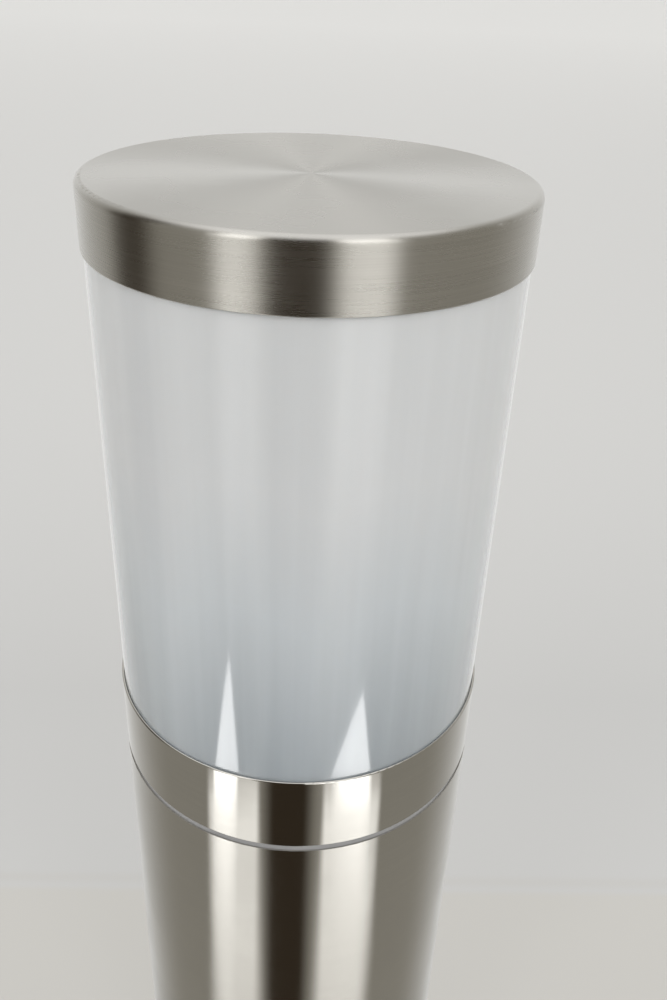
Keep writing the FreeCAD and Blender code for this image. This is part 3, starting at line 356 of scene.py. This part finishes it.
LOOKS = {
    "cap_steel": brushed_round("cap_steel_look", 0.27, 0.018, rim=0.0365, contrast=0.05, specks=0.2),
    "collar_steel": brushed_round("collar_steel_look", 0.085, 0.02, contrast=0.02, specks=0.1),
    "post_steel": brushed_round("post_steel_look", 0.12, 0.02, contrast=0.02, specks=0.1),
    "flange_steel": brushed_round("flange_steel_look", 0.34, 0.08, rim=0.0590),
    "opal": opal_plastic("opal_look"),
    "seal_grey": rubber("seal_look", (0.29, 0.29, 0.295), 0.6),
    "gasket_black": rubber("gasket_look", (0.035, 0.035, 0.037), 0.7),
    "fixing_steel": plated("fixing_look", (0.66, 0.66, 0.67), 0.24, 500.0),
    "sheet_zinc": plated("zinc_look", (0.56, 0.60, 0.64), 0.33, 160.0),
    "moulding_grey": moulded("moulding_look", (0.085, 0.09, 0.098), 0.5),
    "ring_white": moulded("ring_look", (0.74, 0.74, 0.73), 0.42),
    "porcelain": porcelain("porcelain_look"),
    "brass_fitting": plated("brass_look", (0.78, 0.58, 0.26), 0.26, 300.0),
    "contact_nickel": plated("nickel_look", (0.70, 0.67, 0.61), 0.2, 400.0),
    "block_white": moulded("block_look", (0.80, 0.79, 0.72), 0.4,
                           Subsurface_Weight=0.2, Subsurface_Scale=0.003),
    "lamp_dome_opal": frosted("dome_look", (0.80, 0.80, 0.785)),
    "lamp_housing_white": moulded("housing_look", (0.83, 0.83, 0.81), 0.35),
    "lamp_cap_metal": plated("lamp_cap_look", (0.78, 0.76, 0.72), 0.25, 700.0),
    "lamp_insulator_black": moulded("insulator_look", (0.012, 0.012, 0.014), 0.18),
    "board_aluminium": circuit_board("board_look"),
    "led_yellow": phosphor("led_look"),
    "lead_brown": insulation("lead_brown_look", (0.16, 0.06, 0.025)),
    "lead_blue": insulation("lead_blue_look", (0.02, 0.12, 0.42)),
    "lead_green_yellow": insulation("lead_earth_look", (0.05, 0.30, 0.05), (0.75, 0.68, 0.04)),
}


def dress_nodes():
    """Puts each node's look in its own material slots."""
    for row in frame["record"]["subparts"]:
        piece, look = NODES[row["node"]], LOOKS[row["material_slot"]]
        if not piece.material_slots:
            piece.data.materials.append(look)
        for slot in piece.material_slots:
            slot.material = look


dress_nodes()

# ---------------------------------------------------------------- camera
# In front of the object's axis and above its top, in metres, then how it is turned, in radians.
CAMERA_BACK, CAMERA_RISE = 0.16074, 0.03299
PITCH, YAW, ROLL = 0.5345, 0.0370, 0.0427
SENSOR_WIDTH, FOCAL_RATIO = 36.0, 0.9448


def build_camera():
    """A wide camera close in front of the head, looking down at it."""
    forward = Vector((math.sin(YAW) * math.cos(PITCH), math.cos(YAW) * math.cos(PITCH), -math.sin(PITCH)))
    right = forward.cross(Vector((0, 0, 1))).normalized()
    up = right.cross(forward)
    rolled_right = right * math.cos(ROLL) + up * math.sin(ROLL)
    rolled_up = up * math.cos(ROLL) - right * math.sin(ROLL)
    turn = Matrix((rolled_right, rolled_up, -forward)).transposed()
    data = bpy.data.cameras.new("camera")
    data.sensor_fit = "AUTO"
    data.sensor_width = SENSOR_WIDTH
    data.lens = SENSOR_WIDTH * FOCAL_RATIO
    data.clip_start, data.clip_end = 0.01, 200.0
    camera = bpy.data.objects.new("camera", data)
    camera.matrix_world = Matrix.Translation((0.0, -CAMERA_BACK, TOP + CAMERA_RISE)) @ turn.to_4x4()
    bpy.context.scene.collection.objects.link(camera)
    bpy.context.scene.camera = camera


build_camera()

# ---------------------------------------------------------------- stage and light


FLOOR_HALF = 60.0
# Floor tones: painted shade under and near the object, and the pale tone far off.
UNDER_SHADE_TONE, OUTER_TONE = (0.520, 0.510, 0.485), (0.86, 0.86, 0.845)
# A faint line of painted shade across the floor, behind the object: its place along Y, its half width and
# its tone.
LINE_Y, LINE_HALF, LINE_SHADE_TONE = 0.209, 0.006, (0.50, 0.49, 0.47)
# How bright the floor is painted beyond the line, near and far: painted shade near the object, paler far
# off.
BEHIND_SHADE_STEPS = [(0.15, 0.52), (0.85, 0.90)]


def build_floor():
    """A wide pale floor, with painted shade near the object that fades with distance, and a faint line of
    painted shade across it behind the object.
    """
    mesh = bpy.data.meshes.new("floor")
    corners = [(x * FLOOR_HALF, y * FLOOR_HALF, 0.0) for x, y in ((-1, -1), (1, -1), (1, 1), (-1, 1))]
    mesh.from_pydata(corners, [], [(0, 1, 2, 3)])
    floor = bpy.data.objects.new("floor", mesh)
    bpy.context.scene.collection.objects.link(floor)
    mat, g, shader = material("floor_look", (0.75, 0.75, 0.745), 0.9)
    x, y, _ = g.split(place_in(g))
    # Beyond the line: painted shade near the object, paling far off.
    far = g.math("LOGARITHM", g.math("MAXIMUM", y, 0.2), 10.0)
    stops = [(place, (value, 0.998 * value, 0.985 * value)) for place, value in BEHIND_SHADE_STEPS]
    behind = g.ramp(g.span(far, -0.7, 1.1, smooth=False), stops)
    off_line = g.math("ABSOLUTE", g.math("SUBTRACT", y, LINE_Y))
    # The faint line across the floor is painted shade.
    behind = g.mix(g.span(off_line, 0.0, LINE_HALF, 0.5, 0.0), behind, LINE_SHADE_TONE)
    past = g.span(y, LINE_Y - 0.010, LINE_Y - 0.005)
    away = g.vector("LENGTH", g.join(x, y, 0.0))
    # In front: painted shade near the object, fading out between 0.6 and 3.5 m.
    front = g.mix(g.span(away, 0.6, 3.5), UNDER_SHADE_TONE, OUTER_TONE)
    g.put(shader.inputs["Base Color"], g.mix(past, front, behind))
    mesh.materials.append(mat)
    floor.visible_glossy = False


def build_backdrop():
    """A pale wall far off, all the way round, that only the camera sees."""
    radius, height, count = 20.0, 16.0, 96
    turns = [k * math.tau / count for k in range(count)]
    ring = [(radius * math.cos(turn), radius * math.sin(turn)) for turn in turns]
    verts = [(x, y, -0.01) for x, y in ring] + [(x, y, height) for x, y in ring]
    faces = [(k, (k + 1) % count, count + (k + 1) % count, count + k) for k in range(count)]
    faces.append(tuple(range(count, 2 * count)))
    mesh = bpy.data.meshes.new("backdrop")
    mesh.from_pydata(verts, [], faces)
    wall = bpy.data.objects.new("backdrop", mesh)
    bpy.context.scene.collection.objects.link(wall)
    mat, g, shader = material("backdrop_look", (0.0, 0.0, 0.0), 1.0)
    _, _, z = g.split(place_in(g))
    low_tone, high_tone = (0.735, 0.73, 0.715), (0.80, 0.80, 0.79)
    g.put(shader.inputs["Emission Color"], g.mix(g.span(z, 0.0, 12.0), low_tone, high_tone))
    shader.inputs["Emission Strength"].default_value = 1.0
    mesh.materials.append(mat)
    for ray in ("diffuse", "glossy", "transmission", "volume_scatter", "shadow"):
        setattr(wall, "visible_" + ray, False)


def band(g, azimuth, left, right, soft):
    """1 between two azimuths, in degrees, with soft edges."""
    rise = g.span(azimuth, g.math("SUBTRACT", left, soft), g.math("ADD", left, soft))
    fall = g.span(azimuth, g.math("SUBTRACT", right, soft), g.math("ADD", right, soft), 1.0, 0.0)
    return g.math("MULTIPLY", rise, fall)


# The room that shiny surfaces mirror. Its tones:
WALL, BACK_WALL, SHADE = (0.30, 0.285, 0.25), (0.80, 0.80, 0.79), (0.04, 0.03, 0.02)
CEILING = (1.15, 1.15, 1.15)
# The azimuths of its panels, in degrees: 0 is in front of the object, and plus is to the right.
DOORWAY, CORNER = (-20.0, 10.0), (-105.0, -80.0)
LEFT_STRIP, RIGHT_STRIP = (-60.0, -25.0), (18.0, 57.0)
LEFT_WINDOW, RIGHT_WINDOW = (-45.0, -25.0), (15.0, 42.0)
# The pointed windows: left and right foot, then the peak's azimuth and rise. They stand on the sill.
LEFT_POINT, RIGHT_POINT = (-56.0, -38.0, -43.0, -40.0), (22.0, 50.0, 40.0, -42.0)
SILL = -47.0


def pointed_window(g, azimuth, rise, left, right, peak_azimuth, peak):
    """1 inside a pointed window: two straight sides run from the sill up to one peak. All in degrees."""
    left_side = g.span(rise, SILL, peak, left, peak_azimuth, smooth=False)
    right_side = g.span(rise, SILL, peak, right, peak_azimuth, smooth=False)
    between = band(g, azimuth, left_side, right_side, 1.0)
    return g.math("MULTIPLY", between, band(g, rise, SILL, peak, 0.5))


def build_world():
    """A plain room for shiny surfaces to mirror: grey walls, a dark doorway, windows on both sides."""
    world = bpy.data.worlds.new("room")
    world.use_nodes = True
    bpy.context.scene.world = world
    world.cycles.sampling_method = "NONE"
    g = Graph(world.node_tree)
    x, y, z = g.split(g.add("ShaderNodeTexCoord").outputs["Generated"])
    azimuth = g.math("DEGREES", g.math("ARCTAN2", x, g.math("MULTIPLY", y, -1.0)))
    rise = g.math("DEGREES", g.math("ARCSINE", z))
    upper = g.span(rise, -42.0, -24.0)

    room = g.mix(g.span(g.math("ABSOLUTE", azimuth), 90.0, 170.0), WALL, BACK_WALL)
    room = g.mix(band(g, azimuth, *DOORWAY, 6.0), room, SHADE)
    corner = g.math("MULTIPLY", band(g, azimuth, *CORNER, 8.0), upper)
    room = g.mix(corner, room, SHADE)
    room = g.mix(g.span(rise, 38.0, 62.0), room, CEILING)

    soft = g.span(rise, -59.0, -48.0, 6.0, 2.0)
    strips = g.math("ADD", band(g, azimuth, *LEFT_STRIP, soft), band(g, azimuth, *RIGHT_STRIP, soft))
    strips = g.math("MULTIPLY", strips, g.span(rise, -60.0, -50.0, 0.65, 1.1))
    strips = g.math("MULTIPLY", strips, g.span(rise, SILL - 0.5, SILL + 0.5, 1.0, 0.0))
    left_point = g.math("MULTIPLY", pointed_window(g, azimuth, rise, *LEFT_POINT), 3.8)
    right_point = g.math("MULTIPLY", pointed_window(g, azimuth, rise, *RIGHT_POINT), 4.0)
    points = g.math("ADD", left_point, right_point)
    windows = g.math("ADD", band(g, azimuth, *LEFT_WINDOW, 6.0), band(g, azimuth, *RIGHT_WINDOW, 6.0))
    windows = g.math("MULTIPLY", windows, upper)
    windows = g.math("MULTIPLY", windows, g.span(rise, 0.0, 20.0, 0.6, 1.8))
    windows = g.math("MULTIPLY", windows, g.span(rise, 41.0, 51.0, 1.0, 0.0))
    lit = g.math("ADD", g.math("ADD", strips, points), windows)
    total = g.mix(1.0, room, g.join(lit, lit, lit), "ADD")
    background = g.add("ShaderNodeBackground")
    g.put(background.inputs["Color"], total)
    output = g.add("ShaderNodeOutputWorld")
    g.tree.links.new(background.outputs[0], output.inputs[0])


def build_softbox(name, azimuth, rise, distance, width, height, power):
    """A soft light that looks at the head of the object."""
    data = bpy.data.lights.new(name, "AREA")
    data.shape = "RECTANGLE"
    data.size, data.size_y = width, height
    data.energy = power
    lamp = bpy.data.objects.new(name, data)
    side, climb = math.radians(azimuth), math.radians(rise)
    back = Vector((math.sin(side) * math.cos(climb), -math.cos(side) * math.cos(climb), math.sin(climb)))
    lamp.location = Vector((0, 0, MIDDLE_OF_HEAD)) + back * distance
    lamp.rotation_mode = "QUATERNION"
    lamp.rotation_quaternion = (-back).to_track_quat("-Z", "Y")
    lamp.visible_glossy = False
    bpy.context.scene.collection.objects.link(lamp)


MIDDLE_OF_HEAD = TOP - 0.06

build_floor()
build_backdrop()
build_world()
build_softbox("softbox_left", -72, 28, 1.6, 0.9, 0.9, 8.5)
build_softbox("softbox_right", 68, 28, 1.6, 0.9, 0.9, 8.5)
build_softbox("softbox_front", 0, 48, 1.8, 1.2, 0.9, 6)
bpy.context.scene.view_settings.view_transform = "Standard"
